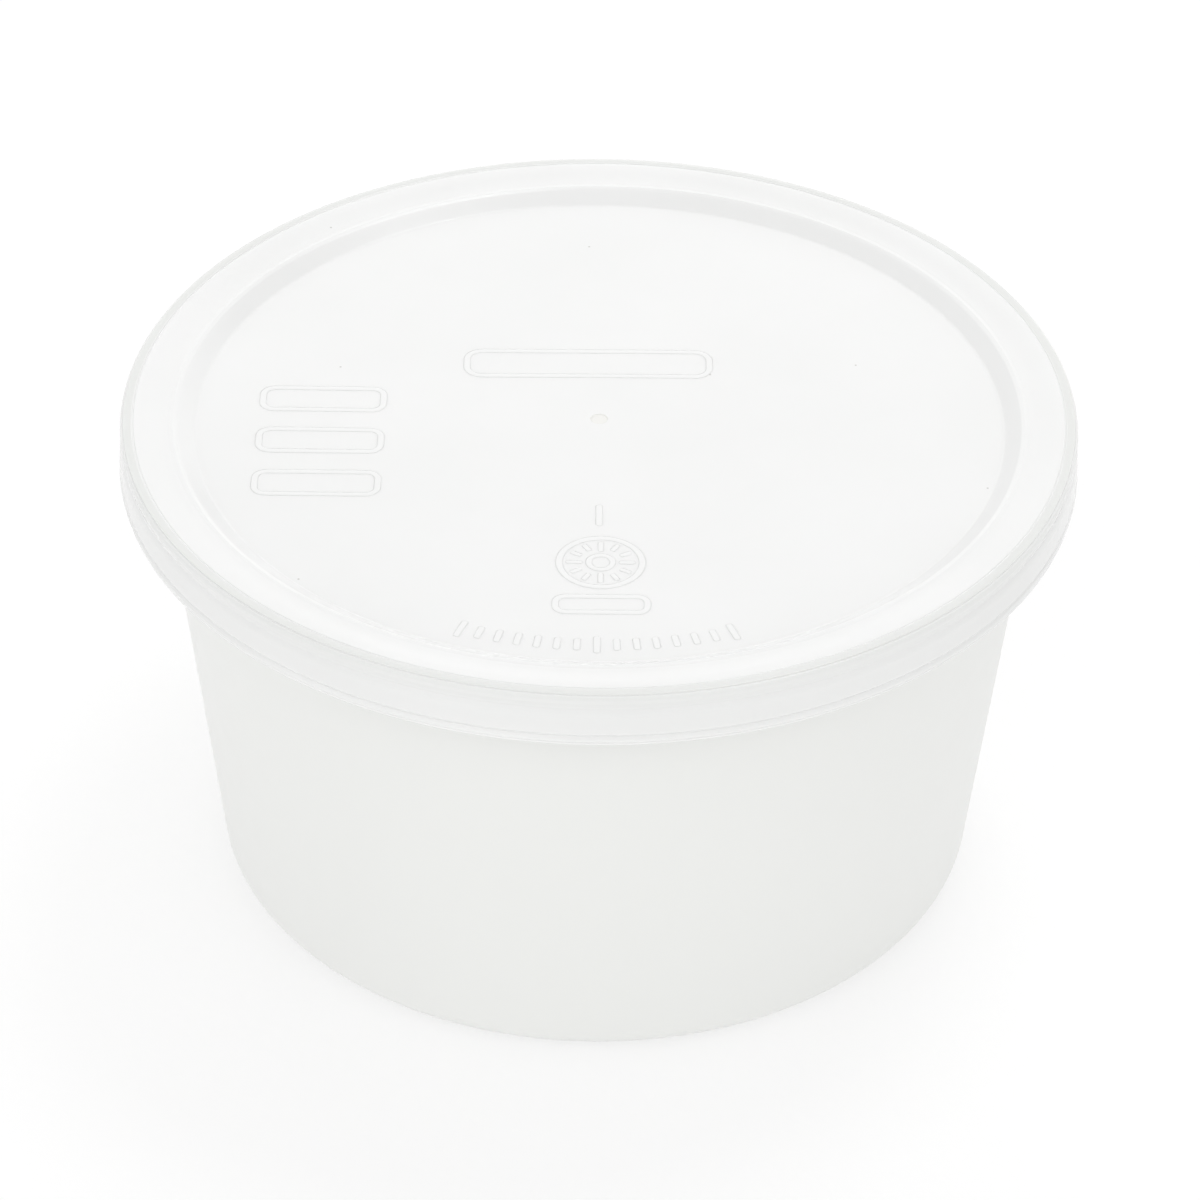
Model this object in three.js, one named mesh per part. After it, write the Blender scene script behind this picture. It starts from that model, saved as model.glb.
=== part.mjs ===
import * as THREE from 'three';

// A round denture case in two moulded pieces: a tapered cup and a lid that presses over its rim.
// Millimetres, +Z up. The origin is the middle of the underside, on the table.

// Cup, sizes that the eye sees first
const cupHeight = 51.2;
const baseRadius = 39.7;
const mouthRadius = 45.3;
const cupWall = 0.9;
const floorThickness = 1.1;
const baseCornerRadius = 3.9;

// Foot ring under the cup, and the stub that the mould's gate leaves inside it
const footHeight = 0.5;
const footInset = 1.4;
const footWidth = 1.3;
const footTaper = 0.25;
const gateRadius = 0.9;
const gateHeight = 0.25;

// Turned-down rim of the cup: a flat top, a rounded shoulder, and a snap bead at its lower edge
const rimReach = 2.1;
const rimThickness = 1;
const rimDrop = 2.6;
const rimWall = 0.8;
const rimShoulderRadius = 0.9;
const mouthEdge = 0.2;
const snapBead = 0.35;
const snapBeadHeight = 0.9;

// Fit of the lid on the cup
const seatGap = 0.3;
const plugGap = 0.25;
const skirtGap = 0.4;

// Lid, the plates and walls
const lidWall = 1;
const panelWall = 0.9;
const recessWall = 1;
const recessDepth = 1.15;
const recessRun = 1.75;
const recessEdge = 0.12;
const plugWall = 0.9;
const plugDepth = 2.5;
const plugLead = 0.35;
const skirtWall = 0.97;
const skirtDepth = 5.78;
const skirtCornerRadius = 1.2;
const retainingBead = 0.2;
const retainingBeadHeight = 0.9;

// Lid, the land round the sunk panel, which rises outwards to a fine groove, and the lip outside that
const landRise = 0.43;
const lipRise = 0.05;
const lipWidth = 0.88;
const lipCrown = 0.03;
const lipEdge = 0.12;
const lipGrooveWidth = 0.24;
const lipGrooveDepth = 0.07;

// Lid, the outside of the skirt, each place as its drop below the lip and its inset from the bead
const creaseDrop = 0.2;
const creaseInset = 0.54;
const shoulderDrop = 0.27;
const shoulderInset = 0.36;
const swellDrop = 0.62;
const swellInset = 0.25;
const swellHeight = 0.4;
const waistDrop = 1.75;
const waistInset = 0.42;
const hipDrop = 2.45;
const hipInset = 0.19;
const flareDrop = 4.5;
const flareInset = 0.05;
const grooveDrop = 4.78;
const grooveInset = 0.25;
const skirtBeadHeight = 0.9;

// How finely the round stretches are cut
const turnSteps = 72;
const cornerSteps = 5;
const beadSteps = 4;
const crownSteps = 4;
const landSteps = 8;

// Places that follow from the sizes above
const wallLean = Math.atan2(mouthRadius - baseRadius, cupHeight);
const floorTop = footHeight + floorThickness;
const rimRadius = mouthRadius + rimReach;
const mouthInnerRadius = wallRadius(cupHeight, cupWall);
const plugRadius = mouthInnerRadius - plugGap;
const recessRadius = plugRadius - recessWall;
const panelRadius = recessRadius - recessRun;
const skirtInnerRadius = rimRadius + snapBead + skirtGap;
const lidRadius = skirtInnerRadius + skirtWall;
const lipTop = lidWall + landRise + lipRise;

// Points of a round stretch of an outline, in the plane of radius and height.
function arc(radius, height, size, from, to, steps) {
  const points = [];
  for (let i = 0; i <= steps; i += 1) {
    const angle = from + (to - from) * (i / steps);
    points.push(new THREE.Vector2(radius + size * Math.cos(angle), height + size * Math.sin(angle)));
  }
  return points;
}

// Points of a shallow arch from one radius to another, its ends lower than its middle by the rise.
function arch(fromRadius, toRadius, top, rise, steps) {
  const points = [];
  for (let i = 0; i <= steps; i += 1) {
    const share = i / steps;
    const radius = fromRadius + (toRadius - fromRadius) * share;
    points.push(new THREE.Vector2(radius, top - rise * Math.pow(share + share - 1, 2)));
  }
  return points;
}

// Points of a soft S from one radius and height to another, level at both ends.
function sweep(fromRadius, toRadius, fromHeight, toHeight, steps) {
  const points = [];
  for (let i = 0; i <= steps; i += 1) {
    const share = i / steps;
    const fall = (1 - Math.cos(Math.PI * share)) / 2;
    const radius = fromRadius + (toRadius - fromRadius) * share;
    points.push(point(radius, fromHeight + (toHeight - fromHeight) * fall));
  }
  return points;
}

function point(radius, height) {
  return new THREE.Vector2(radius, height);
}

// Radius of the cup's sloping wall at a height, moved inwards by a distance square to the wall.
function wallRadius(height, inwards) {
  return baseRadius + height * Math.tan(wallLean) - inwards / Math.cos(wallLean);
}

// Turns an outline round the upright axis. The outline runs from the axis, under, out and back over.
function turned(outline) {
  const geometry = new THREE.LatheGeometry(outline, turnSteps);
  geometry.rotateX(Math.PI / 2);
  return geometry;
}

// Underside of the cup: gate stub, recess, foot ring and the start of the rounded corner.
function cupUnderside() {
  const footOuter = wallRadius(footHeight, baseCornerRadius) - footInset;
  const footInner = footOuter - footWidth;
  return [
    point(0, footHeight - gateHeight),
    point(gateRadius, footHeight - gateHeight),
    point(gateRadius, footHeight),
    point(footInner - footTaper, footHeight),
    point(footInner, 0),
    point(footOuter, 0),
    point(footOuter + footTaper, footHeight),
  ];
}

// Outside of the cup: rounded corner, sloping wall, and the rim turned down round its mouth.
function cupOutside() {
  const cornerHeight = footHeight + baseCornerRadius;
  const cornerCentre = wallRadius(cornerHeight, baseCornerRadius);
  const underRim = cupHeight - rimThickness;
  const rimFoot = cupHeight - rimDrop;
  const beadCentre = rimFoot + snapBeadHeight / 2;
  const shoulderCentre = cupHeight - rimShoulderRadius;
  return [
    ...arc(cornerCentre, cornerHeight, baseCornerRadius, -Math.PI / 2, -wallLean, cornerSteps),
    point(wallRadius(underRim, 0), underRim),
    point(rimRadius - rimWall, underRim),
    point(rimRadius - rimWall, rimFoot),
    point(rimRadius, rimFoot),
    point(rimRadius + snapBead, beadCentre),
    point(rimRadius, rimFoot + snapBeadHeight),
    ...arc(rimRadius - rimShoulderRadius, shoulderCentre, rimShoulderRadius, 0, Math.PI / 2, cornerSteps),
  ];
}

// Inside of the cup: the mouth's eased edge, the sloping wall and the rounded floor.
function cupInside() {
  const cornerRadius = baseCornerRadius - cupWall;
  const cornerHeight = floorTop + cornerRadius;
  const cornerCentre = wallRadius(cornerHeight, cupWall + cornerRadius);
  return [
    point(mouthInnerRadius + mouthEdge, cupHeight),
    point(wallRadius(cupHeight - mouthEdge, cupWall), cupHeight - mouthEdge),
    ...arc(cornerCentre, cornerHeight, cornerRadius, -wallLean, -Math.PI / 2, cornerSteps),
    point(0, floorTop),
  ];
}

// Underside of the lid: flat panel, plug that enters the mouth, and the channel that takes the rim.
function lidUnderside() {
  const panelTop = lidWall - recessDepth;
  const panelUnder = panelTop - panelWall;
  const plugInner = plugRadius - plugWall;
  const slopeRun = recessRun * (plugWall / recessWall) / 2;
  const slopeRise = recessDepth * (slopeRun / recessRun);
  const plugTaper = plugDepth * Math.tan(wallLean);
  const cornerCentre = skirtInnerRadius - skirtCornerRadius;
  return [
    point(0, panelUnder),
    point(plugInner - slopeRun, panelUnder),
    point(plugInner, panelUnder + slopeRise),
    point(plugInner - plugTaper, -plugDepth),
    point(plugRadius - plugTaper - plugLead, -plugDepth),
    point(plugRadius - plugTaper, plugLead - plugDepth),
    point(plugRadius, 0),
    ...arc(cornerCentre, -skirtCornerRadius, skirtCornerRadius, Math.PI / 2, 0, cornerSteps),
  ];
}

// Lower edge of the lid: the retaining bead inside, the rounded bead outside.
function lidEdge() {
  const foot = lipTop - skirtDepth;
  const beadRadius = skirtBeadHeight / 2;
  const retainerFoot = foot + skirtBeadHeight / 2;
  const retainerTop = retainerFoot + retainingBeadHeight;
  return [
    point(skirtInnerRadius, retainerTop),
    point(skirtInnerRadius - retainingBead, (retainerTop + retainerFoot) / 2),
    point(skirtInnerRadius, retainerFoot),
    point(skirtInnerRadius, foot),
    ...arc(lidRadius - beadRadius, foot + beadRadius, beadRadius, -Math.PI / 2, Math.PI / 6, beadSteps),
  ];
}

// Outside of the skirt, from the groove over the bead up to the crease under the lip.
function lidSkirt() {
  return [
    point(lidRadius - grooveInset, lipTop - grooveDrop),
    point(lidRadius - flareInset, lipTop - flareDrop),
    point(lidRadius - hipInset, lipTop - hipDrop),
    point(lidRadius - waistInset, lipTop - waistDrop),
    point(lidRadius - swellInset, lipTop - swellDrop - swellHeight),
    point(lidRadius - swellInset, lipTop - swellDrop),
    point(lidRadius - shoulderInset, lipTop - shoulderDrop),
    point(lidRadius - creaseInset, lipTop - creaseDrop),
  ];
}

// Top of the lid: the lip with its rounded edge, the fine groove, the land, the recess and the panel.
function lidTop() {
  const panelTop = lidWall - recessDepth;
  const lipOuter = lidRadius - creaseInset;
  const lipInner = lipOuter - lipWidth;
  const lipShoulder = lipTop - lipCrown - lipEdge;
  const landOuter = lipInner - lipGrooveWidth;
  const landTop = lidWall + landRise;
  return [
    ...arc(lipOuter - lipEdge, lipShoulder, lipEdge, 0, Math.PI / 2, beadSteps),
    ...arch(lipOuter - lipEdge, lipInner, lipTop, lipCrown, crownSteps).slice(1),
    point(lipInner - lipGrooveWidth / 2, landTop - lipGrooveDepth),
    ...sweep(landOuter, recessRadius + recessEdge, landTop, lidWall, landSteps),
    point(recessRadius, lidWall - recessEdge),
    point(panelRadius, panelTop),
    point(gateRadius, panelTop),
    point(gateRadius - gateHeight, panelTop - gateHeight),
    point(0, panelTop - gateHeight),
  ];
}

function cup() {
  const outline = [...cupUnderside(), ...cupOutside(), ...cupInside()];
  const material = new THREE.MeshStandardMaterial({ color: 0xe6e8e3, roughness: 0.5, metalness: 0 });
  const mesh = new THREE.Mesh(turned(outline), material);
  mesh.name = 'cup';
  return mesh;
}

function lid() {
  const outline = [...lidUnderside(), ...lidEdge(), ...lidSkirt(), ...lidTop()];
  const material = new THREE.MeshStandardMaterial({ color: 0xf3f4f2, roughness: 0.42, metalness: 0 });
  const mesh = new THREE.Mesh(turned(outline), material);
  mesh.name = 'lid';
  mesh.position.z = cupHeight + seatGap;
  return mesh;
}

const dentureCase = new THREE.Group();
dentureCase.add(cup(), lid());

export default dentureCase;
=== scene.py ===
import math

import bpy
from mathutils import Matrix, Vector


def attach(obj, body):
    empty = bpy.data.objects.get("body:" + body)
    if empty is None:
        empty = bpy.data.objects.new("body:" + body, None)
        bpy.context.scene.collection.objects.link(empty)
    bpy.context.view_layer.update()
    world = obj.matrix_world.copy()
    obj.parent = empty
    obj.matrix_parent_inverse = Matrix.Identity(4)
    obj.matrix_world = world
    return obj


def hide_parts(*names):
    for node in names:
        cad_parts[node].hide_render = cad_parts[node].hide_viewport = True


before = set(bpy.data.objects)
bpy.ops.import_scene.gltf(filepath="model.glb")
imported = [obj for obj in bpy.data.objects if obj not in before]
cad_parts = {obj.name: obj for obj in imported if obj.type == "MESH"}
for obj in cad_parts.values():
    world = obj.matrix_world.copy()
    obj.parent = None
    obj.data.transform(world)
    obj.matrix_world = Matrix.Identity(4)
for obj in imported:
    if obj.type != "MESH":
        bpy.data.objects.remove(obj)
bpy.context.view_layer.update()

# Lengths are written in millimetres, as on the object, and turned into metres where a mesh is made.
MM = 0.001

# Cup
CUP_HEIGHT = 51.2
BASE_RADIUS = 39.7
MOUTH_RADIUS = 45.3
CUP_WALL = 0.9
FLOOR_THICKNESS = 1.1
BASE_CORNER = 3.9
FOOT_HEIGHT = 0.5
FOOT_INSET = 1.4
FOOT_WIDTH = 1.3
FOOT_TAPER = 0.25
GATE_RADIUS = 0.9
GATE_HEIGHT = 0.25
GATE_DIMPLE = 0.1
RIM_REACH = 2.1
RIM_THICKNESS = 1.0
RIM_DROP = 2.6
RIM_WALL = 0.8
RIM_SHOULDER = 0.9
MOUTH_EDGE = 0.2
SNAP_BEAD = 0.35
SNAP_BEAD_HEIGHT = 0.9

# Lid
SEAT_GAP = 0.3
PLUG_GAP = 0.25
SKIRT_GAP = 0.4
LID_WALL = 1.0
PANEL_WALL = 0.9
RECESS_WALL = 1.0
RECESS_DEPTH = 1.15
RECESS_RUN = 1.75
RECESS_EDGE = 0.12
PLUG_WALL = 0.9
PLUG_DEPTH = 2.5
PLUG_LEAD = 0.35
SKIRT_WALL = 0.97
SKIRT_DEPTH = 5.78
SKIRT_CORNER = 1.2
RETAINING_BEAD = 0.2
RETAINING_BEAD_HEIGHT = 0.9
LAND_RISE = 0.43
LIP_RISE = 0.05
LIP_WIDTH = 0.88
LIP_CROWN = 0.03
LIP_EDGE = 0.12
LIP_GROOVE_WIDTH = 0.24
LIP_GROOVE_DEPTH = 0.07
CREASE_DROP = 0.2
CREASE_INSET = 0.54
SHOULDER_DROP = 0.27
SHOULDER_INSET = 0.36
SWELL_DROP = 0.62
SWELL_INSET = 0.25
SWELL_HEIGHT = 0.4
WAIST_DROP = 1.75
WAIST_INSET = 0.42
HIP_DROP = 2.45
HIP_INSET = 0.19
FLARE_DROP = 4.5
FLARE_INSET = 0.05
GROOVE_DROP = 4.78
GROOVE_INSET = 0.25
SKIRT_BEAD_HEIGHT = 0.9

# Finer forms of the lid: the roundings of the recess, the ridge round it, and the split bead
RECESS_FILLET = 0.8
RECESS_ROUNDING = 1.0
RIDGE_WIDTH = 0.8
RIDGE_RISE = 0.035
BEAD_SPLIT = 0.11

# Heights of the split bead's four corners, as shares of half its height
BEAD_CORNERS = (0.35, 0.65, 0.9, 1.35)

# Roundings of the moulded edges, from the crispest to the softest
CRISP = 0.08
FINE = 0.15
SOFT = 0.3
HIP_ROUNDING = 1.2

# A faint bulge that the real soft panel has near its front edge
DENT_PLACE = (-10.5, -36.6)
DENT_SIZE = (5.0, 1.3)
DENT_RISE = 0.1

# The panel's own slow waves, which die out at its edge
WAVE_RISE = 0.05
WAVE_PACE = (0.085, 0.11)
WAVE_START = (0.6, -0.4)
SECOND_WAVE_RISE = 0.02
SECOND_WAVE_PACE = (0.19, -0.14)
SECOND_WAVE_START = 1.9
WAVE_MARGIN = 0.5
LEVEL_SLACK = 0.01

# Fineness of the turned meshes
TURN_STEPS = 288
ARC_STEP = math.radians(11)
LONGEST_STRETCH = 1.2
LAND_STEPS = 16

# A corner's arc takes at most this share of a side, and a corner flatter than this stays a point
CORNER_SHARE = 0.48
STRAIGHT = math.radians(0.5)

LEAN = math.atan2(MOUTH_RADIUS - BASE_RADIUS, CUP_HEIGHT)
FLOOR_TOP = FOOT_HEIGHT + FLOOR_THICKNESS
RIM_RADIUS = MOUTH_RADIUS + RIM_REACH


def wall_radius(height, inwards):
    """Radius of the cup's sloping wall at a height, moved inwards square to the wall."""
    return BASE_RADIUS + height * math.tan(LEAN) - inwards / math.cos(LEAN)


MOUTH_INNER = wall_radius(CUP_HEIGHT, CUP_WALL)
PLUG_RADIUS = MOUTH_INNER - PLUG_GAP
RECESS_RADIUS = PLUG_RADIUS - RECESS_WALL
PANEL_RADIUS = RECESS_RADIUS - RECESS_RUN
SKIRT_INNER = RIM_RADIUS + SNAP_BEAD + SKIRT_GAP
LID_RADIUS = SKIRT_INNER + SKIRT_WALL
SEAT = CUP_HEIGHT + SEAT_GAP
PANEL_TOP = LID_WALL - RECESS_DEPTH
LIP_TOP = LID_WALL + LAND_RISE + LIP_RISE


def rounded(corners):
    """Outline through (radius, height, rounding) corners, with an arc at each rounded one."""
    points = []
    count = len(corners)
    for i, (radius, height, size) in enumerate(corners):
        here = Vector((radius, height))
        if not size or i == 0 or i == count - 1:
            points.append(here)
            continue
        back = Vector(corners[i - 1][:2]) - here
        ahead = Vector(corners[i + 1][:2]) - here
        half = back.angle(ahead) / 2
        if math.pi / 2 - half < STRAIGHT:
            points.append(here)
            continue
        cut = min(size / math.tan(half), CORNER_SHARE * back.length, CORNER_SHARE * ahead.length)
        size = cut * math.tan(half)
        back.normalize()
        ahead.normalize()
        centre = here + (back + ahead).normalized() * (size / math.sin(half))
        first = here + back * cut - centre
        turn = math.pi - 2 * half
        if first.cross(here + ahead * cut - centre) < 0:
            turn = -turn
        steps = max(2, math.ceil(abs(turn) / ARC_STEP))
        for k in range(steps + 1):
            points.append(centre + Matrix.Rotation(turn * k / steps, 2) @ first)
    return points


def filled(points, longest):
    """The outline with points added wherever a stretch is longer than the given length."""
    out = [points[0]]
    for a, b in zip(points, points[1:]):
        parts = max(1, math.ceil((b - a).length / longest))
        for k in range(1, parts + 1):
            out.append(a.lerp(b, k / parts))
    return out


def finish_mesh(name, verts, faces, body, material):
    """A smooth-shaded object from millimetre points, riding on its body."""
    mesh = bpy.data.meshes.new(name)
    mesh.from_pydata([Vector(v) * MM for v in verts], [], faces)
    mesh.update()
    mesh.shade_smooth()
    piece = bpy.data.objects.new(name, mesh)
    bpy.context.scene.collection.objects.link(piece)
    piece.data.materials.append(material)
    weighted = piece.modifiers.new("faces_keep_flat", "WEIGHTED_NORMAL")
    weighted.keep_sharp = True
    weighted.weight = 100
    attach(piece, body)
    return piece


def turned(outline, shift):
    """Points and faces of an outline turned about the axis; shift moves each point a little."""
    verts = []
    rings = []
    for radius, height in outline:
        if radius < 1e-6:
            rings.append([len(verts)])
            verts.append((0.0, 0.0, height + shift(0.0, 0.0, height)))
            continue
        ring = []
        for k in range(TURN_STEPS):
            angle = math.tau * k / TURN_STEPS
            x = radius * math.cos(angle)
            y = radius * math.sin(angle)
            ring.append(len(verts))
            verts.append((x, y, height + shift(x, y, height)))
        rings.append(ring)
    faces = []
    for low, high in zip(rings, rings[1:]):
        for k in range(TURN_STEPS):
            n = (k + 1) % TURN_STEPS
            if len(low) == 1:
                faces.append((low[0], high[n], high[k]))
            elif len(high) == 1:
                faces.append((low[k], low[n], high[0]))
            else:
                faces.append((low[k], low[n], high[n], high[k]))
    return verts, faces


def cup_outline():
    foot_outer = wall_radius(FOOT_HEIGHT, BASE_CORNER) - FOOT_INSET
    foot_inner = foot_outer - FOOT_WIDTH
    under_rim = CUP_HEIGHT - RIM_THICKNESS
    rim_foot = CUP_HEIGHT - RIM_DROP
    return rounded([
        (0, FOOT_HEIGHT - GATE_HEIGHT, 0),
        (GATE_RADIUS, FOOT_HEIGHT - GATE_HEIGHT, FINE),
        (GATE_RADIUS, FOOT_HEIGHT, CRISP),
        (foot_inner - FOOT_TAPER, FOOT_HEIGHT, FINE),
        (foot_inner, 0, FINE),
        (foot_outer, 0, FINE),
        (foot_outer + FOOT_TAPER, FOOT_HEIGHT, FINE),
        (wall_radius(FOOT_HEIGHT, 0), FOOT_HEIGHT, BASE_CORNER),
        (wall_radius(under_rim, 0), under_rim, SOFT),
        (RIM_RADIUS - RIM_WALL, under_rim, SOFT),
        (RIM_RADIUS - RIM_WALL, rim_foot, CRISP),
        (RIM_RADIUS, rim_foot, FINE),
        (RIM_RADIUS + SNAP_BEAD, rim_foot + SNAP_BEAD_HEIGHT / 2, SOFT),
        (RIM_RADIUS, rim_foot + SNAP_BEAD_HEIGHT, FINE),
        (RIM_RADIUS, CUP_HEIGHT, RIM_SHOULDER),
        (MOUTH_INNER, CUP_HEIGHT, MOUTH_EDGE),
        (wall_radius(FLOOR_TOP, CUP_WALL), FLOOR_TOP, BASE_CORNER - CUP_WALL),
        (0, FLOOR_TOP, 0),
    ])


def land():
    """The land from the fine groove inwards to the ridge round the recess, as a soft S."""
    outer = LID_RADIUS - CREASE_INSET - LIP_WIDTH - LIP_GROOVE_WIDTH
    inner = RECESS_RADIUS + RIDGE_WIDTH
    points = [(outer, LID_WALL + LAND_RISE, FINE)]
    for k in range(1, LAND_STEPS):
        share = k / LAND_STEPS
        fall = (1 - math.cos(math.pi * share)) / 2
        points.append((outer + (inner - outer) * share, LID_WALL + LAND_RISE * (1 - fall), 0))
    return [
        *points,
        (inner, LID_WALL - RIDGE_RISE / 2, FINE),
        (RECESS_RADIUS + RIDGE_WIDTH / 2, LID_WALL + RIDGE_RISE / 2, FINE),
    ]


def lid_outline():
    panel_under = PANEL_TOP - PANEL_WALL
    plug_inner = PLUG_RADIUS - PLUG_WALL
    slope_run = RECESS_RUN * (PLUG_WALL / RECESS_WALL) / 2
    slope_rise = RECESS_DEPTH * (slope_run / RECESS_RUN)
    plug_taper = PLUG_DEPTH * math.tan(LEAN)
    foot = LIP_TOP - SKIRT_DEPTH
    retainer_foot = foot + SKIRT_BEAD_HEIGHT / 2
    retainer_top = retainer_foot + RETAINING_BEAD_HEIGHT
    bead = [foot + SKIRT_BEAD_HEIGHT / 2 * share for share in BEAD_CORNERS]
    lip_outer = LID_RADIUS - CREASE_INSET
    lip_inner = lip_outer - LIP_WIDTH
    return rounded([
        (0, panel_under, 0),
        (plug_inner - slope_run, panel_under, SOFT),
        (plug_inner, panel_under + slope_rise, SOFT),
        (plug_inner - plug_taper, -PLUG_DEPTH, FINE),
        (PLUG_RADIUS - plug_taper - PLUG_LEAD, -PLUG_DEPTH, FINE),
        (PLUG_RADIUS - plug_taper, PLUG_LEAD - PLUG_DEPTH, FINE),
        (PLUG_RADIUS, 0, FINE),
        (SKIRT_INNER, 0, SKIRT_CORNER),
        (SKIRT_INNER, retainer_top, FINE),
        (SKIRT_INNER - RETAINING_BEAD, (retainer_top + retainer_foot) / 2, FINE),
        (SKIRT_INNER, retainer_foot, FINE),
        (SKIRT_INNER, foot, CRISP),
        (LID_RADIUS - BEAD_SPLIT, foot, FINE),
        (LID_RADIUS - BEAD_SPLIT / 2, bead[0], CRISP),
        (LID_RADIUS - BEAD_SPLIT * 1.5, bead[1], CRISP),
        (LID_RADIUS, bead[2], CRISP),
        (LID_RADIUS, bead[3], FINE),
        (LID_RADIUS - GROOVE_INSET, LIP_TOP - GROOVE_DROP, FINE),
        (LID_RADIUS - FLARE_INSET, LIP_TOP - FLARE_DROP, FINE),
        (LID_RADIUS - HIP_INSET, LIP_TOP - HIP_DROP, HIP_ROUNDING),
        (LID_RADIUS - WAIST_INSET, LIP_TOP - WAIST_DROP, SOFT),
        (LID_RADIUS - SWELL_INSET, LIP_TOP - SWELL_DROP - SWELL_HEIGHT, SOFT),
        (LID_RADIUS - SWELL_INSET, LIP_TOP - SWELL_DROP, SOFT),
        (LID_RADIUS - SHOULDER_INSET, LIP_TOP - SHOULDER_DROP, FINE),
        (lip_outer, LIP_TOP - CREASE_DROP, CRISP / 2),
        (lip_outer, LIP_TOP - LIP_CROWN, LIP_EDGE),
        ((lip_outer + lip_inner) / 2, LIP_TOP, SOFT),
        (lip_inner, LIP_TOP - LIP_CROWN, CRISP),
        (lip_inner - LIP_GROOVE_WIDTH / 2, LID_WALL + LAND_RISE - LIP_GROOVE_DEPTH, CRISP),
        *land(),
        (RECESS_RADIUS, LID_WALL - RECESS_EDGE, RECESS_ROUNDING),
        (PANEL_RADIUS, PANEL_TOP, RECESS_FILLET),
        (GATE_RADIUS, PANEL_TOP, CRISP),
        (GATE_RADIUS - GATE_DIMPLE, PANEL_TOP - GATE_DIMPLE, CRISP),
        (0, PANEL_TOP - GATE_DIMPLE, 0),
    ])


def still(x, y, height):
    """No wave, for a piece that is stiff."""
    return 0.0


def panel_wave(x, y, height):
    """How far the thin panel of the lid lies above or below its plane."""
    radius = math.hypot(x, y)
    lowest = PANEL_TOP - PANEL_WALL - LEVEL_SLACK
    if radius > PANEL_RADIUS - WAVE_MARGIN or height < lowest or height > PANEL_TOP + LEVEL_SLACK:
        return 0.0
    inside = 1 - (radius / (PANEL_RADIUS - WAVE_MARGIN)) ** 4
    along = math.sin(x * WAVE_PACE[0] + WAVE_START[0])
    across = math.cos(y * WAVE_PACE[1] + WAVE_START[1])
    slant = math.sin(x * SECOND_WAVE_PACE[0] + y * SECOND_WAVE_PACE[1] + SECOND_WAVE_START)
    wave = WAVE_RISE * along * across + SECOND_WAVE_RISE * slant
    dent = math.hypot((x - DENT_PLACE[0]) / DENT_SIZE[0], (y - DENT_PLACE[1]) / DENT_SIZE[1])
    return wave * inside + DENT_RISE * math.exp(-dent * dent)


# Materials

# Skin and body of both plastics
PLASTIC_IOR = 1.49
LIGHT_REACH = 0.0004
CLOUD_SCALE = 55
CLOUD_RANGE = (0.35, 0.65)
SHEEN_SCALE = 420
SHEEN_RANGE = (0.3, 0.7)
SHEEN_SPREAD = 0.04
GRAIN_SCALE = 5200
GRAIN_STRENGTH = 0.18
GRAIN_DEPTH = 0.00002
GLOW = 0.5
MARK_GLOW = 0.0
CUP_ROUGHNESS = 0.4
LID_ROUGHNESS = 0.21

# Shares of the deep colour in each zone. The cloud is random tone and the cup's rim is doubled
# plastic; the lid's top share sets its plain tone, and its skirt, swell, ledge and lip shares are
# painted shade
CLOUD_DEPTH = 0.1
CUP_RIM_DEPTH = 0.5
TOP_DEPTH = 0.33
SKIRT_PAINTED_SHADE = 0.42
SWELL_PAINTED_SHADE = 0.52
LEDGE_PAINTED_SHADE = 0.6
LIP_PAINTED_SHADE = 0.75

# How the zones fade into each other, in millimetres from the form that each belongs to
CREASE_FADE = (-0.1, 0.05)
SWELL_START = 0.3
SWELL_FADE = 0.6
LEDGE_FADE = 0.25
LIP_FADE = (0.1, 0.4)

# Stain round the gate mark, and specks in the top of the lid
GATE_STAIN = 0.6
GATE_SPREAD = (0.9, 1.15)
GATE_COLOUR = (0.82, 0.81, 0.77)
SPECK_SCALE = 75
SPECK_SHARE = 0.2
SPECK_SIZE = 0.011
SPECK_DEPTH = 0.6
SPECK_COLOUR = (0.42, 0.41, 0.38)
SPECK_TOP = (-0.3, -0.2)

# Colours of the two plastics: the plain colour, and a deep colour that gives the cloudy tone, the
# cup's doubled rim and the lid's painted shade
CUP_THIN = (0.815, 0.82, 0.803)
CUP_THICK = (0.795, 0.80, 0.782)
LID_THIN = (0.902, 0.899, 0.903)
LID_DEEP_TONE_AND_SHADE = (0.69, 0.70, 0.68)


def node(tree, kind, x, y, **values):
    made = tree.nodes.new(kind)
    made.location = (x, y)
    for key, value in values.items():
        setattr(made, key, value)
    return made


def noise(tree, coords, scale, detail, x, y):
    made = node(tree, "ShaderNodeTexNoise", x, y)
    made.inputs["Scale"].default_value = scale
    made.inputs["Detail"].default_value = detail
    tree.links.new(coords, made.inputs["Vector"])
    return made.outputs["Fac"]


def ranged(tree, value, low, high, to_low, to_high, x, y):
    made = node(tree, "ShaderNodeMapRange", x, y)
    keys = ("From Min", "From Max", "To Min", "To Max")
    for key, number in zip(keys, (low, high, to_low, to_high)):
        made.inputs[key].default_value = number
    tree.links.new(value, made.inputs["Value"])
    return made.outputs["Result"]


def mixed(tree, factor, first, second, x, y):
    made = node(tree, "ShaderNodeMix", x, y, data_type="RGBA")
    tree.links.new(factor, made.inputs[0])
    for socket, value in ((made.inputs[6], first), (made.inputs[7], second)):
        if isinstance(value, tuple):
            socket.default_value = (*value, 1)
        else:
            tree.links.new(value, socket)
    return made.outputs[2]


def times(tree, first, second, x, y):
    made = node(tree, "ShaderNodeMath", x, y, operation="MULTIPLY")
    tree.links.new(first, made.inputs[0])
    tree.links.new(second, made.inputs[1])
    return made.outputs[0]


def scaled(tree, value, share, x, y):
    """A value from 0 to 1, made smaller by a fixed share."""
    return ranged(tree, value, 0, 1, 0, share, x, y)


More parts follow.
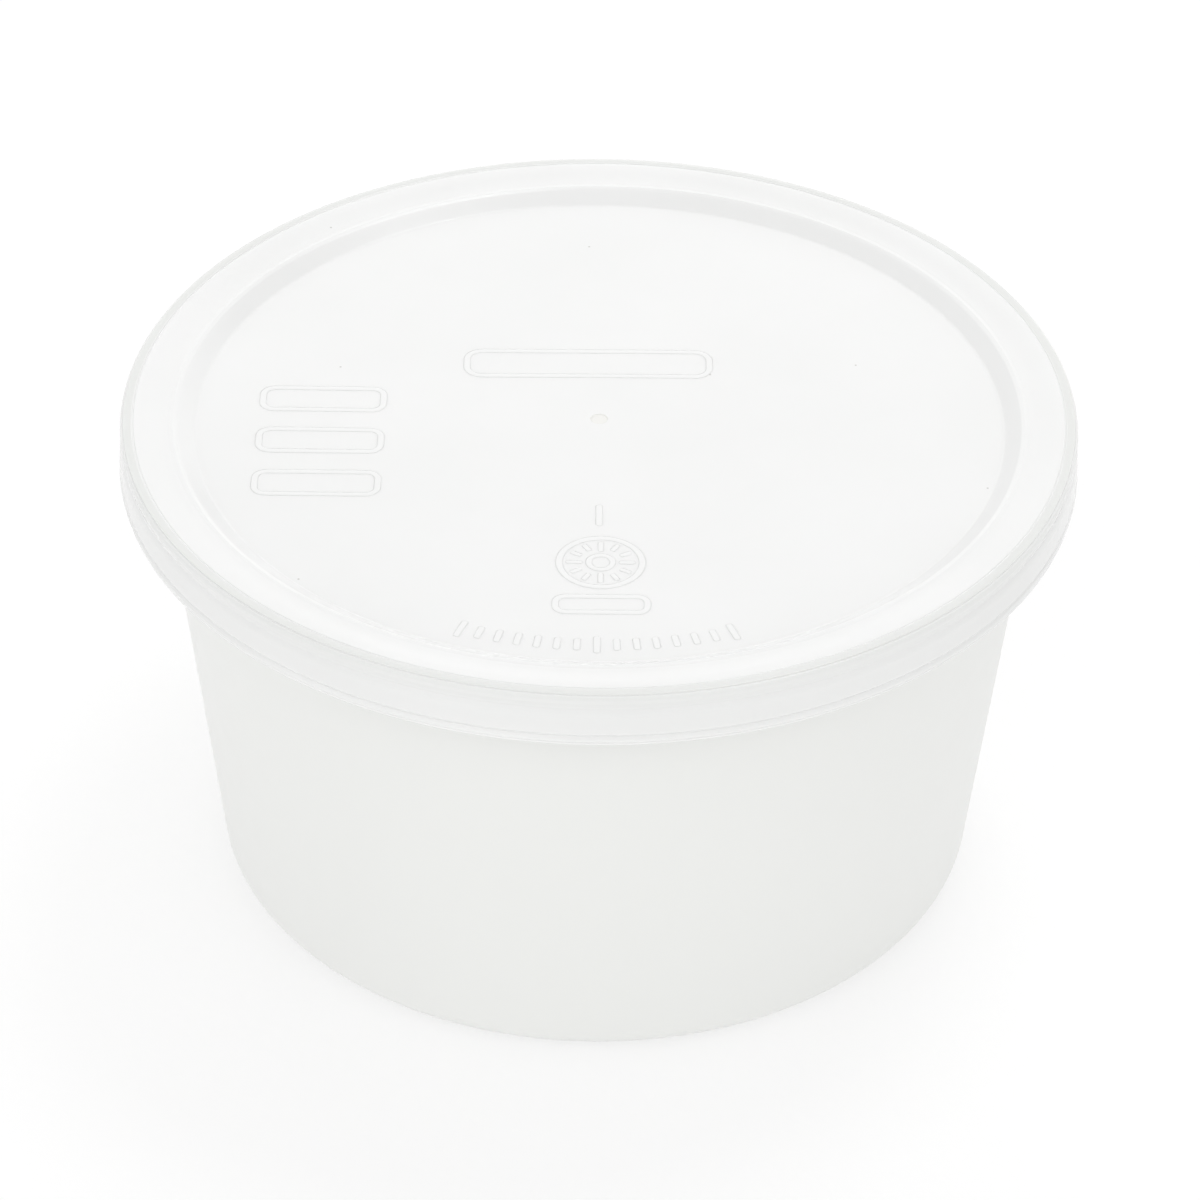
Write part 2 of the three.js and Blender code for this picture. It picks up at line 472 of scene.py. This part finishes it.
def most(tree, values, x, y):
    """The largest of several values."""
    result = values[0]
    for k, value in enumerate(values[1:]):
        made = node(tree, "ShaderNodeMath", x + 150 * k, y, operation="MAXIMUM")
        tree.links.new(result, made.inputs[0])
        tree.links.new(value, made.inputs[1])
        result = made.outputs[0]
    return result


def between(tree, value, low, high, soft, x, y):
    """1 where a length in metres lies between two millimetre values, fading over the soft width."""
    rise = ranged(tree, value, (low - soft) * MM, low * MM, 0, 1, x, y)
    fall = ranged(tree, value, high * MM, (high + soft) * MM, 1, 0, x, y - 250)
    return times(tree, rise, fall, x + 180, y)


def axis_radius(tree, place, x, y):
    """A place's distance from the upright axis, its height, and its place on the floor plane."""
    parts = node(tree, "ShaderNodeSeparateXYZ", x, y)
    tree.links.new(place, parts.inputs[0])
    flat = node(tree, "ShaderNodeCombineXYZ", x + 160, y - 150)
    tree.links.new(parts.outputs["X"], flat.inputs["X"])
    tree.links.new(parts.outputs["Y"], flat.inputs["Y"])
    radius = node(tree, "ShaderNodeVectorMath", x + 320, y - 150, operation="LENGTH")
    tree.links.new(flat.outputs[0], radius.inputs[0])
    return radius.outputs["Value"], parts.outputs["Z"], flat.outputs[0]


def seen_plainly(tree, x, y):
    """1 for the rays that look at the surroundings straight, in a reflection or through glass."""
    path = node(tree, "ShaderNodeLightPath", x, y)
    rays = [path.outputs[key] for key in ("Is Camera Ray", "Is Glossy Ray", "Is Transmission Ray")]
    return most(tree, rays, x + 180, y)


def specks(tree, flat, height, x, y):
    """1 at a few tiny dark specks in the top of the lid."""
    cells = node(tree, "ShaderNodeTexVoronoi", x, y, feature="F1", voronoi_dimensions="2D")
    cells.inputs["Scale"].default_value = SPECK_SCALE
    tree.links.new(flat, cells.inputs["Vector"])
    pick = node(tree, "ShaderNodeSeparateColor", x + 180, y - 150)
    tree.links.new(cells.outputs["Color"], pick.inputs[0])
    draw = pick.outputs[0]
    chosen = ranged(tree, draw, 1 - SPECK_SHARE, 1.001 - SPECK_SHARE, 0, 1, x + 340, y - 150)
    away = cells.outputs["Distance"]
    near = ranged(tree, away, SPECK_SIZE * 0.5, SPECK_SIZE, SPECK_DEPTH, 0, x + 340, y + 100)
    below, above = [(SEAT + step) * MM for step in SPECK_TOP]
    on_top = ranged(tree, height, below, above, 0, 1, x + 340, y - 400)
    return times(tree, times(tree, chosen, near, x + 520, y), on_top, x + 700, y)


def plastic(name, thin, deep_colour, roughness, glow, depth_of):
    """Milky moulded plastic: cloudy colour, deeper in the zones that depth_of gives (the cup's
    doubled rim, and painted shade on the lid), a skin with fine grain.
    """
    material = bpy.data.materials.new(name)
    material.use_nodes = True
    tree = material.node_tree
    tree.nodes.clear()
    out = node(tree, "ShaderNodeOutputMaterial", 1200, 0)
    shader = node(tree, "ShaderNodeBsdfPrincipled", 900, 0)
    tree.links.new(shader.outputs[0], out.inputs[0])
    shader.inputs["IOR"].default_value = PLASTIC_IOR
    shader.inputs["Subsurface Weight"].default_value = glow
    shader.inputs["Subsurface Scale"].default_value = LIGHT_REACH
    shader.inputs["Subsurface Radius"].default_value = (1.0, 1.0, 1.0)
    place = node(tree, "ShaderNodeTexCoord", -1800, 0).outputs["Object"]
    cloud = noise(tree, place, CLOUD_SCALE, 3, -1100, 600)
    cloudy = ranged(tree, cloud, *CLOUD_RANGE, 0, CLOUD_DEPTH, -900, 600)
    radius, height, flat = axis_radius(tree, place, -1600, -100)
    # On the lid these zones are painted shade in the deep colour
    colour = mixed(tree, most(tree, depth_of(tree, radius, height), 0, 400), thin, deep_colour, 300, 300)
    colour = mixed(tree, cloudy, colour, deep_colour, 380, 450)
    stain_core, stain_edge = [GATE_RADIUS * share * MM for share in GATE_SPREAD]
    gate = ranged(tree, radius, stain_core, stain_edge, GATE_STAIN, 0, 0, 150)
    colour = mixed(tree, gate, colour, GATE_COLOUR, 450, 250)
    colour = mixed(tree, specks(tree, flat, height, -700, 900), colour, SPECK_COLOUR, 600, 200)
    tree.links.new(colour, shader.inputs["Base Color"])
    sheen = noise(tree, place, SHEEN_SCALE, 4, -700, -900)
    smoothest = roughness - SHEEN_SPREAD
    roughest = roughness + SHEEN_SPREAD
    rough = ranged(tree, sheen, *SHEEN_RANGE, smoothest, roughest, -250, -900)
    tree.links.new(rough, shader.inputs["Roughness"])
    grain = noise(tree, place, GRAIN_SCALE, 2, -700, -1100)
    bump = node(tree, "ShaderNodeBump", 600, -400)
    bump.inputs["Strength"].default_value = GRAIN_STRENGTH
    bump.inputs["Distance"].default_value = GRAIN_DEPTH
    tree.links.new(grain, bump.inputs["Height"])
    tree.links.new(bump.outputs[0], shader.inputs["Normal"])
    return material


def cup_depth(tree, radius, height):
    """The cup is one even thickness, deeper only where its rim doubles back."""
    foot = (CUP_HEIGHT - RIM_DROP) * MM
    return [ranged(tree, height, foot, CUP_HEIGHT * MM, 0, CUP_RIM_DEPTH, -900, -300)]


def lid_painted_shade(tree, radius, height):
    """Painted shade on the lid: its plain tone over the top, darker down the upright skirt, darker
    still on the skirt's upper part and under the crease, darkest on the lip, which lies beyond the
    rim.
    """
    top = SEAT + LIP_TOP
    lip_outer = LID_RADIUS - CREASE_INSET
    lip_flat = (lip_outer - LIP_EDGE) * MM
    beyond_lip = ranged(tree, radius, lip_flat, lip_outer * MM, 0, 1, -1100, -350)
    below, above = [(top - CREASE_DROP + step) * MM for step in CREASE_FADE]
    under_lip = ranged(tree, height, below, above, 1, 0, -1100, -100)
    skirt = times(tree, beyond_lip, under_lip, -900, -200)
    # Painted shade on the upright skirt, deeper on its upper part and under the crease
    swell = between(tree, height, top - WAIST_DROP + SWELL_START, top, SWELL_FADE, -900, 100)
    ledge = between(tree, height, top - SWELL_DROP, top, LEDGE_FADE, -900, 300)
    # The lip and outer land beyond the rim get the darkest painted shade
    inner, outer = [(RIM_RADIUS + step) * MM for step in LIP_FADE]
    lip = ranged(tree, radius, inner, outer, 0, LIP_PAINTED_SHADE, -500, -350)
    lip = times(tree, lip, ranged(tree, skirt, 0, 1, 1, 0, -350, -200), -150, -350)
    return [
        ranged(tree, skirt, 0, 1, TOP_DEPTH, SKIRT_PAINTED_SHADE, -300, 0),
        times(tree, skirt, scaled(tree, swell, SWELL_PAINTED_SHADE, -500, 100), -150, 100),
        times(tree, skirt, scaled(tree, ledge, LEDGE_PAINTED_SHADE, -500, 300), -150, 300),
        lip,
    ]


CUP_PLASTIC = plastic("milky_cup_plastic", CUP_THIN, CUP_THICK, CUP_ROUGHNESS, GLOW, cup_depth)
LID_PLASTIC = plastic("white_lid_plastic", LID_THIN, LID_DEEP_TONE_AND_SHADE, LID_ROUGHNESS, GLOW, lid_painted_shade)

# The marks let no light in, because it would be lost in so thin a strip
MARK_PLASTIC = plastic("white_lid_marks", LID_THIN, LID_DEEP_TONE_AND_SHADE, LID_ROUGHNESS, MARK_GLOW, lid_painted_shade)

cup_verts, cup_faces = turned(filled(cup_outline(), LONGEST_STRETCH), still)
cup = finish_mesh("cup_shell", cup_verts, cup_faces, "cup_body", CUP_PLASTIC)
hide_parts("cup")

lid_verts, lid_faces = turned(filled(lid_outline(), LONGEST_STRETCH), panel_wave)
lid_verts = [(x, y, z + SEAT) for x, y, z in lid_verts]
lid = finish_mesh("lid_shell", lid_verts, lid_faces, "lid_body", LID_PLASTIC)
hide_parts("lid")


# Raised marks on the panel, generic frames, ring and bars in low relief

MARK_HEIGHT = 0.035
MARK_WIDTH = 0.42
NARROW_MARK = 0.34
DIAL_PLACE = (0.3, -25.0)
DIAL_RADIUS = 4.1
DIAL_HUB = 1.2
TICK_COUNT = 12
TICK_WIDTH = 0.3
TICK_START = 2.35
LONG_TICK_START = 1.95
TICK_END = 3.3
BAR_COUNT = 15
BAR_CIRCLE = 38.6
BAR_TURN = 2.85
BAR_REACH = 0.75
LONG_BAR_REACH = 1.15
MARK_DRAFT = 0.15
MARK_SUNK = 0.08
PATH_STEP = 0.8

# Cross-section of a mark: heights as shares of its own height, and steps outwards or inwards
FLANK_HEIGHT = 0.8
FLANK_OUT = 0.02
SHOULDER_IN = 0.05
CROWN_HEIGHT = 1.04

# Rounded end of an open mark, each step as its distance and its width, in half widths
ROUND_END = ((1.0, 0.05), (0.87, 0.5), (0.5, 0.87))
END_RISE = 1.5
CORNER_STEPS = 8


def strip(points, closed, width, height):
    """Points and faces of a low drafted ridge that follows a path on the panel."""
    half = width / 2
    section = [
        (half + MARK_DRAFT, -MARK_SUNK),
        (half + MARK_DRAFT, 0.0),
        (half + FLANK_OUT, height * FLANK_HEIGHT),
        (half - SHOULDER_IN, height),
        (0.0, height * CROWN_HEIGHT),
        (SHOULDER_IN - half, height),
        (-half - FLANK_OUT, height * FLANK_HEIGHT),
        (-half - MARK_DRAFT, 0.0),
        (-half - MARK_DRAFT, -MARK_SUNK),
    ]
    verts = []
    rings = []
    count = len(points)

    def ring(x, y, nx, ny, share):
        row = []
        for across, up in section:
            reach = across * share
            rise = up if up < 0 else up * min(1, share * END_RISE)
            px = x + nx * reach
            py = y + ny * reach
            row.append(len(verts))
            verts.append((px, py, SEAT + PANEL_TOP + rise + panel_wave(px, py, PANEL_TOP)))
        rings.append(row)

    for i, (x, y) in enumerate(points):
        before = points[(i - 1) % count] if closed or i else points[i]
        after = points[(i + 1) % count] if closed or i < count - 1 else points[i]
        along = Vector((after[0] - before[0], after[1] - before[1])).normalized()
        if not closed and i == 0:
            for back, share in ROUND_END:
                step = back * half
                ring(x - along.x * step, y - along.y * step, along.y, -along.x, share)
        ring(x, y, along.y, -along.x, 1.0)
        if not closed and i == count - 1:
            for ahead, share in reversed(ROUND_END):
                step = ahead * half
                ring(x + along.x * step, y + along.y * step, along.y, -along.x, share)
    faces = []
    wide = len(section)
    pairs = list(zip(rings, rings[1:]))
    if closed:
        pairs.append((rings[-1], rings[0]))
    for a, b in pairs:
        for k in range(wide):
            n = (k + 1) % wide
            faces.append((a[k], b[k], b[n], a[n]))
    if not closed:
        faces.append(tuple(rings[0]))
        faces.append(tuple(reversed(rings[-1])))
    return verts, faces


def frame_path(x, y, width, height, corner):
    """Corner-rounded rectangle as a closed path, its middle at (x, y)."""
    path = []
    for cx, cy, start in ((1, 1, 0), (-1, 1, 90), (-1, -1, 180), (1, -1, 270)):
        for k in range(CORNER_STEPS + 1):
            angle = math.radians(start + 90 * k / CORNER_STEPS)
            path.append((
                x + cx * (width / 2 - corner) + corner * math.cos(angle),
                y + cy * (height / 2 - corner) + corner * math.sin(angle),
            ))
    return path


def circle_path(x, y, radius, steps):
    return [
        (x + radius * math.cos(math.tau * k / steps), y + radius * math.sin(math.tau * k / steps))
        for k in range(steps)
    ]


def followed(points, closed):
    """The path with points added, so that a long side follows the wave of the panel."""
    ends = [Vector(point) for point in points]
    if not closed:
        return filled(ends, PATH_STEP)
    return filled([*ends, ends[0]], PATH_STEP)[:-1]


def ridges(name, strips):
    """One piece from several ridges on the lid's panel."""
    verts = []
    faces = []
    for points, closed, width in strips:
        more, shapes = strip(followed(points, closed), closed, width, MARK_HEIGHT)
        faces.extend(tuple(i + len(verts) for i in shape) for shape in shapes)
        verts.extend(more)
    return finish_mesh(name, verts, faces, "lid_body", MARK_PLASTIC)


ridges("lid_blank_fields", [
    (frame_path(-1.2, 10.2, 25.2, 4.6, 1.6), True, MARK_WIDTH),
    *((frame_path(-28.4, y, 12.4, 3.9, 1.2), True, MARK_WIDTH) for y in (3.2, -4.3, -11.9)),
])

dial = [
    (circle_path(*DIAL_PLACE, DIAL_RADIUS, 64), True, MARK_WIDTH),
    (circle_path(*DIAL_PLACE, DIAL_HUB, 32), True, NARROW_MARK),
]
for k in range(TICK_COUNT):
    angle = math.tau * k / TICK_COUNT
    near = TICK_START if k % 3 else LONG_TICK_START
    dial.append(([
        (DIAL_PLACE[0] + near * math.cos(angle), DIAL_PLACE[1] + near * math.sin(angle)),
        (DIAL_PLACE[0] + TICK_END * math.cos(angle), DIAL_PLACE[1] + TICK_END * math.sin(angle)),
    ], False, TICK_WIDTH))
ridges("lid_mould_dial", dial)

bars = [([(0.1, -18.6), (0.1, -15.4)], False, MARK_WIDTH)]
bars.append((frame_path(0.4, -32.0, 9.0, 2.6, 1.0), True, MARK_WIDTH))
middle = BAR_COUNT // 2
for k in range(BAR_COUNT):
    angle = math.radians(-90 + (k - middle) * BAR_TURN)
    reach = BAR_REACH if k % middle else LONG_BAR_REACH
    bars.append(([
        ((BAR_CIRCLE - reach) * math.cos(angle), (BAR_CIRCLE - reach) * math.sin(angle)),
        ((BAR_CIRCLE + reach) * math.cos(angle), (BAR_CIRCLE + reach) * math.sin(angle)),
    ], False, MARK_WIDTH))
ridges("lid_bars", bars)


# Floor

FLOOR_BOUNCE = 0.97
FLOOR_LIFT = 0.58
TABLE_GLOW = 0.35
FLOOR_SIZE = 3.0


def floor_material():
    """Pale floor like a light table: part of its white shines through, part keeps the shadow."""
    material = bpy.data.materials.new("pale_floor")
    material.use_nodes = True
    tree = material.node_tree
    tree.nodes.clear()
    out = node(tree, "ShaderNodeOutputMaterial", 600, 0)
    mix = node(tree, "ShaderNodeMixShader", 400, 0)
    plain = node(tree, "ShaderNodeBsdfDiffuse", 100, -100)
    white = node(tree, "ShaderNodeEmission", 100, -250)
    white.inputs["Color"].default_value = (1, 1, 1, 1)
    white.inputs["Strength"].default_value = 1.0
    seen = seen_plainly(tree, -700, 200)
    bounce = (FLOOR_BOUNCE, FLOOR_BOUNCE, FLOOR_BOUNCE)
    tree.links.new(mixed(tree, seen, bounce, (1.0, 1.0, 1.0), -100, 0), plain.inputs["Color"])
    tree.links.new(ranged(tree, seen, 0, 1, TABLE_GLOW, FLOOR_LIFT, -100, 250), mix.inputs[0])
    tree.links.new(plain.outputs[0], mix.inputs[1])
    tree.links.new(white.outputs[0], mix.inputs[2])
    tree.links.new(mix.outputs[0], out.inputs[0])
    return material


floor_mesh = bpy.data.meshes.new("floor")
floor_signs = ((-1, -1), (1, -1), (1, 1), (-1, 1))
floor_corners = [(x * FLOOR_SIZE, y * FLOOR_SIZE, 0) for x, y in floor_signs]
floor_mesh.from_pydata(floor_corners, [], [(0, 1, 2, 3)])
floor = bpy.data.objects.new("floor", floor_mesh)
bpy.context.scene.collection.objects.link(floor)
floor.data.materials.append(floor_material())


# Light

WORLD_LEVEL = 0.745


def world_light():
    """Pale room. Seen straight, in a reflection or through glass it is plain white."""
    world = bpy.data.worlds.new("studio")
    bpy.context.scene.world = world
    world.use_nodes = True
    tree = world.node_tree
    tree.nodes.clear()
    out = node(tree, "ShaderNodeOutputWorld", 400, 0)
    back = node(tree, "ShaderNodeBackground", 200, 0)
    back.inputs["Color"].default_value = (1, 1, 1, 1)
    seen = seen_plainly(tree, -500, 0)
    tree.links.new(ranged(tree, seen, 0, 1, WORLD_LEVEL, 1, 0, 0), back.inputs["Strength"])
    tree.links.new(back.outputs[0], out.inputs[0])


world_light()

LIGHT_AIM = Vector((0, 0, 0.03))


def soft_light(name, azimuth, elevation, distance, size, level):
    """Round soft lamp. A white surface square to it renders at the given level."""
    data = bpy.data.lights.new(name, "AREA")
    data.shape = "DISK"
    data.size = size
    data.energy = level * (math.pi * distance) ** 2
    lamp = bpy.data.objects.new(name, data)
    bpy.context.scene.collection.objects.link(lamp)
    around = math.radians(azimuth)
    up = math.radians(elevation)
    away = Vector((math.cos(around) * math.cos(up), math.sin(around) * math.cos(up), math.sin(up)))
    lamp.location = LIGHT_AIM + away * distance
    lamp.rotation_euler = (-away).to_track_quat("-Z", "Y").to_euler()


# Name, azimuth, elevation, distance, size and level of each lamp
for lamp_facts in (
    ("key_back_right", 52, 68, 1.2, 0.4, 0.12),
    ("back", 86, 34, 1.2, 1.25, 0.22),
    ("low_front_left", 230, 18, 1.2, 1.5, 0.25),
    ("low_front_right", 306, 18, 1.2, 1.5, 0.19),
):
    soft_light(*lamp_facts)


# Camera at the photograph's angle

CAMERA_PLACE = (0.0, -0.42375, 0.3394)
CAMERA_YAW = math.radians(0.039)
CAMERA_PITCH = math.radians(36.279)
CAMERA_ROLL = math.radians(0.625)
camera_data = bpy.data.cameras.new("camera")
camera_data.sensor_width = 36
camera_data.lens = 150
camera_data.clip_start = 0.01
camera_data.clip_end = 20
camera = bpy.data.objects.new("camera", camera_data)
bpy.context.scene.collection.objects.link(camera)
camera.matrix_world = (
    Matrix.Translation(CAMERA_PLACE)
    @ Matrix.Rotation(-CAMERA_YAW, 4, "Z")
    @ Matrix.Rotation(math.pi / 2 - CAMERA_PITCH, 4, "X")
    @ Matrix.Rotation(CAMERA_ROLL, 4, "Z")
)
bpy.context.scene.camera = camera

bpy.context.scene.view_settings.view_transform = "Standard"
